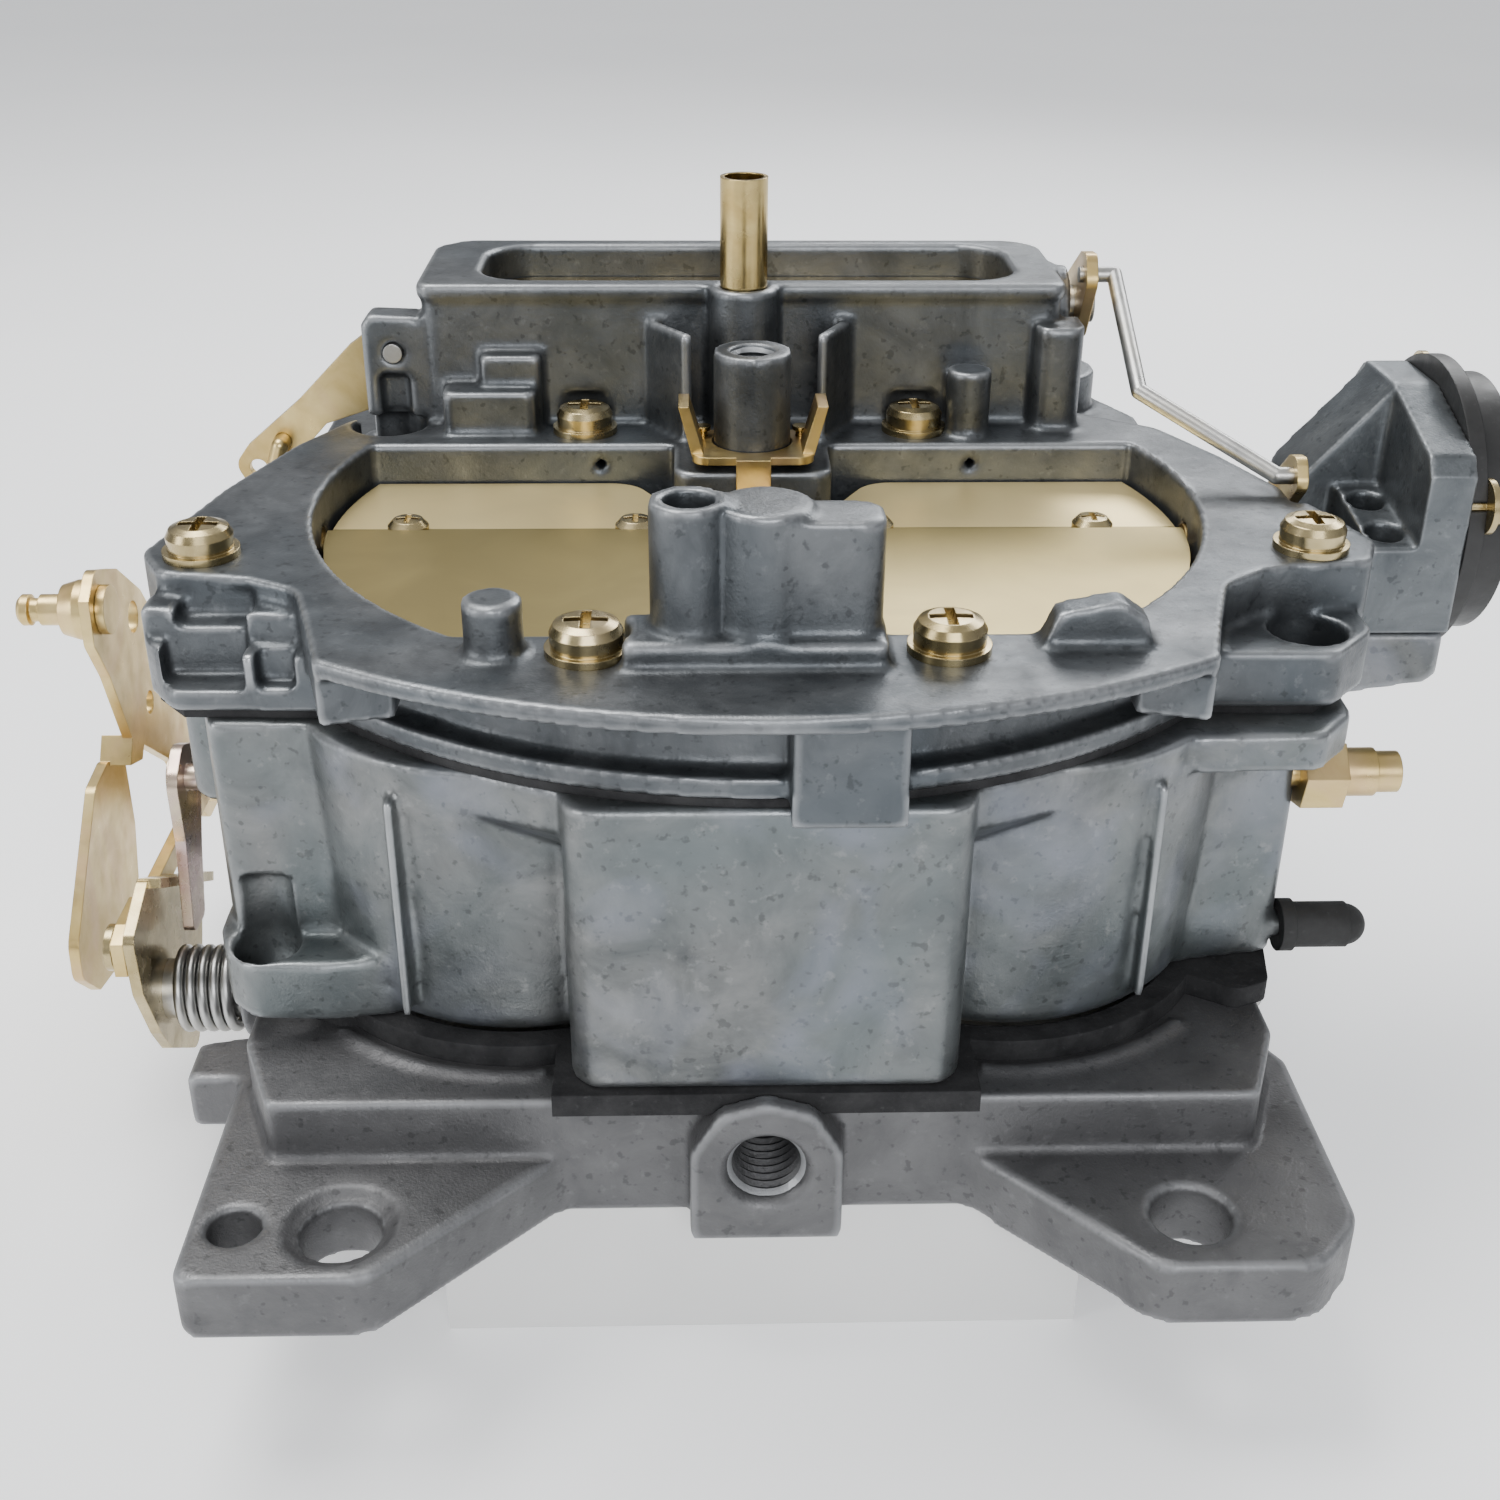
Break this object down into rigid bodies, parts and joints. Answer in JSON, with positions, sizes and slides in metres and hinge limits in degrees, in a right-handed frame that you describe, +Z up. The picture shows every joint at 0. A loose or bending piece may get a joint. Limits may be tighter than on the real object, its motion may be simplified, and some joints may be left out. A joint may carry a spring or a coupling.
{
  "type": "carburetor",
  "caption": "Spread-bore downdraft carburetor with choke tower, air valve, linked throttles, side choke thermostat, float bowl and accelerator pump.",
  "frame": {"origin": "centre of the four mounting bolt holes on the underside of the throttle body", "axes": "+X towards the choke housing side, -X towards the throttle levers, +Y towards the front with the choke tower and fuel inlet, -Y towards the rear with the secondary bores, +Z up towards the air cleaner"},
  "size_m": [0.221, 0.1834, 0.1251],
  "materials": {
    "cast_zinc": "die-cast zinc, satin, blue-grey",
    "cast_aluminium": "cast aluminium, fine-grained",
    "cast_housing": "die-cast, satin",
    "gasket": "fibre gasket, charcoal",
    "black_plastic": "moulded, satin",
    "white_plastic": "moulded",
    "rubber": "matt",
    "float_foam": "closed-cell foam",
    "filter": "pleated paper",
    "brass": "turned brass",
    "steel": "zinc plated",
    "plate_steel": "stamped steel",
    "yellow_zinc": "yellow zinc plated",
    "spring_steel": "spring wire"
  },
  "bodies": {
    "carburetor_body": {"adjusting_screw_springs": "spring_steel", "air_horn": "cast_zinc", "air_horn_gasket": "gasket", "air_horn_screws": "steel", "booster_venturis": "cast_housing", "choke_coil": "spring_steel", "choke_cover": "black_plastic", "choke_housing": "cast_housing", "choke_housing_screws": "steel", "float_bowl": "cast_zinc", "float_hinge_pin": "steel", "fuel_filter": "filter", "fuel_inlet_nut": "steel", "metering_jets": "brass", "needle_seat": "brass", "power_piston_spring": "spring_steel", "pump_lever_pin": "steel", "pump_return_spring": "spring_steel", "secondary_return_spring": "spring_steel", "side_fitting": "yellow_zinc", "throttle_body": "cast_aluminium", "throttle_body_gasket": "gasket", "throttle_body_screws": "steel", "vacuum_cap": "rubber", "vent_tube": "brass"},
    "primary_throttle": {"primary_throttle_shaft": "steel", "primary_throttle_plates": "brass", "primary_throttle_screws": "steel", "throttle_lever": "yellow_zinc", "throttle_lever_stud": "steel", "idle_stop_lever": "yellow_zinc", "secondary_drive_lever": "yellow_zinc"},
    "secondary_throttle": {"secondary_throttle_shaft": "steel", "secondary_throttle_plates": "plate_steel", "secondary_throttle_screws": "steel", "secondary_lever": "steel"},
    "throttle_link": {"secondary_link": "yellow_zinc"},
    "lockout": {"secondary_lockout_lever": "yellow_zinc"},
    "pump_arm": {"pump_lever": "yellow_zinc"},
    "pump_linkage": {"pump_rod": "steel"},
    "plunger": {"pump_plunger": "rubber"},
    "air_valve": {"air_valve_shaft": "steel", "air_valve_plates": "plate_steel", "air_valve_screws": "steel", "air_valve_cam": "white_plastic"},
    "rod_hanger": {"metering_rod_hanger": "yellow_zinc", "secondary_metering_rods": "brass"},
    "choke": {"choke_shaft": "steel", "choke_plate": "brass", "choke_plate_screws": "steel", "choke_lever": "yellow_zinc"},
    "choke_rod": {"choke_link": "steel"},
    "thermostat_lever": {"choke_housing_lever": "yellow_zinc"},
    "float_arm": {"float": "float_foam"},
    "needle": {"inlet_needle": "steel"},
    "piston": {"power_piston": "steel", "primary_metering_rods": "brass"},
    "idle_adjuster": {"idle_speed_screw": "steel"},
    "mixture_adjuster_left": {"mixture_screw_left": "steel"},
    "mixture_adjuster_right": {"mixture_screw_right": "steel"}
  },
  "joints": [
    {"name": "primary_throttle_turn", "type": "hinge", "parent": "carburetor_body", "child": "primary_throttle", "pos_m": [0, 0.052, 0.00925], "axis": [-1, 0, 0], "range_deg": [0, 75]},
    {"name": "secondary_throttle_turn", "type": "hinge", "parent": "carburetor_body", "child": "secondary_throttle", "pos_m": [0, -0.019, 0.00925], "axis": [-1, 0, 0], "range_deg": [0, 75]},
    {"name": "throttle_link_turn", "type": "hinge", "parent": "primary_throttle", "child": "throttle_link", "pos_m": [-0.0914, 0.045, 0.02135], "axis": [-1, 0, 0], "range_deg": [-75, 0]},
    {"name": "lockout_turn", "type": "hinge", "parent": "carburetor_body", "child": "lockout", "pos_m": [-0.08, -0.009, 0.04], "axis": [-1, 0, 0], "range_deg": [0, 20]},
    {"name": "pump_lever_turn", "type": "hinge", "parent": "carburetor_body", "child": "pump_arm", "pos_m": [-0.0566, 0.048, 0.0905], "axis": [0, -1, 0], "range_deg": [0, 9]},
    {"name": "pump_rod_turn", "type": "hinge", "parent": "pump_arm", "child": "pump_linkage", "pos_m": [-0.078, 0.05, 0.0726], "axis": [0, -1, 0], "range_deg": [-9, 0]},
    {"name": "pump_plunger_stroke", "type": "slide", "parent": "carburetor_body", "child": "plunger", "axis": [0, 0, -1], "range_m": [0, 0.0009], "deforming": ["pump_return_spring"]},
    {"name": "air_valve_turn", "type": "hinge", "parent": "carburetor_body", "child": "air_valve", "pos_m": [0, 0.006, 0.0706], "axis": [1, 0, 0], "range_deg": [0, 70]},
    {"name": "metering_rod_lift", "type": "slide", "parent": "carburetor_body", "child": "rod_hanger", "axis": [0, 0, 1], "range_m": [0, 0.0093]},
    {"name": "choke_turn", "type": "hinge", "parent": "carburetor_body", "child": "choke", "pos_m": [0, 0.052, 0.095], "axis": [-1, 0, 0], "range_deg": [0, 80]},
    {"name": "choke_link_turn", "type": "hinge", "parent": "choke", "child": "choke_rod", "pos_m": [0.056, 0.0445, 0.1015], "axis": [-1, 0, 0], "range_deg": [-80, 0]},
    {"name": "thermostat_lever_turn", "type": "hinge", "parent": "carburetor_body", "child": "thermostat_lever", "pos_m": [0.08, 0.012, 0.075], "axis": [-1, 0, 0], "range_deg": [0, 80]},
    {"name": "float_drop", "type": "hinge", "parent": "carburetor_body", "child": "float_arm", "pos_m": [0.004, 0.02, 0.056], "axis": [0, -1, 0], "range_deg": [0, 10]},
    {"name": "needle_lift", "type": "slide", "parent": "carburetor_body", "child": "needle", "axis": [0, 0, 1], "range_m": [0, 0.0016]},
    {"name": "power_piston_lift", "type": "slide", "parent": "carburetor_body", "child": "piston", "axis": [0, 0, 1], "range_m": [0, 0.004], "deforming": ["power_piston_spring"]},
    {"name": "idle_screw_turn", "type": "hinge", "parent": "carburetor_body", "child": "idle_adjuster", "pos_m": [-0.0755, 0.03, 0.0205], "axis": [0, 1, 0], "continuous": true},
    {"name": "mixture_screw_left_turn", "type": "hinge", "parent": "carburetor_body", "child": "mixture_adjuster_left", "pos_m": [-0.022, 0.08, 0.00925], "axis": [0, 1, 0], "continuous": true},
    {"name": "mixture_screw_right_turn", "type": "hinge", "parent": "carburetor_body", "child": "mixture_adjuster_right", "pos_m": [0.022, 0.08, 0.00925], "axis": [0, 1, 0], "continuous": true}
  ],
  "couplings": [
    {"joint": "secondary_throttle_turn", "follows": "primary_throttle_turn", "ratio": 1},
    {"joint": "throttle_link_turn", "follows": "primary_throttle_turn", "ratio": -1},
    {"joint": "pump_lever_turn", "follows": "primary_throttle_turn", "ratio": 0.12},
    {"joint": "pump_rod_turn", "follows": "primary_throttle_turn", "ratio": -0.12},
    {"joint": "pump_plunger_stroke", "follows": "primary_throttle_turn", "m_per_rad": 0.00065},
    {"joint": "metering_rod_lift", "follows": "air_valve_turn", "m_per_rad": 0.0075},
    {"joint": "choke_link_turn", "follows": "choke_turn", "ratio": -1},
    {"joint": "thermostat_lever_turn", "follows": "choke_turn", "ratio": 1},
    {"joint": "needle_lift", "follows": "float_drop", "m_per_rad": 0.009}
  ]
}
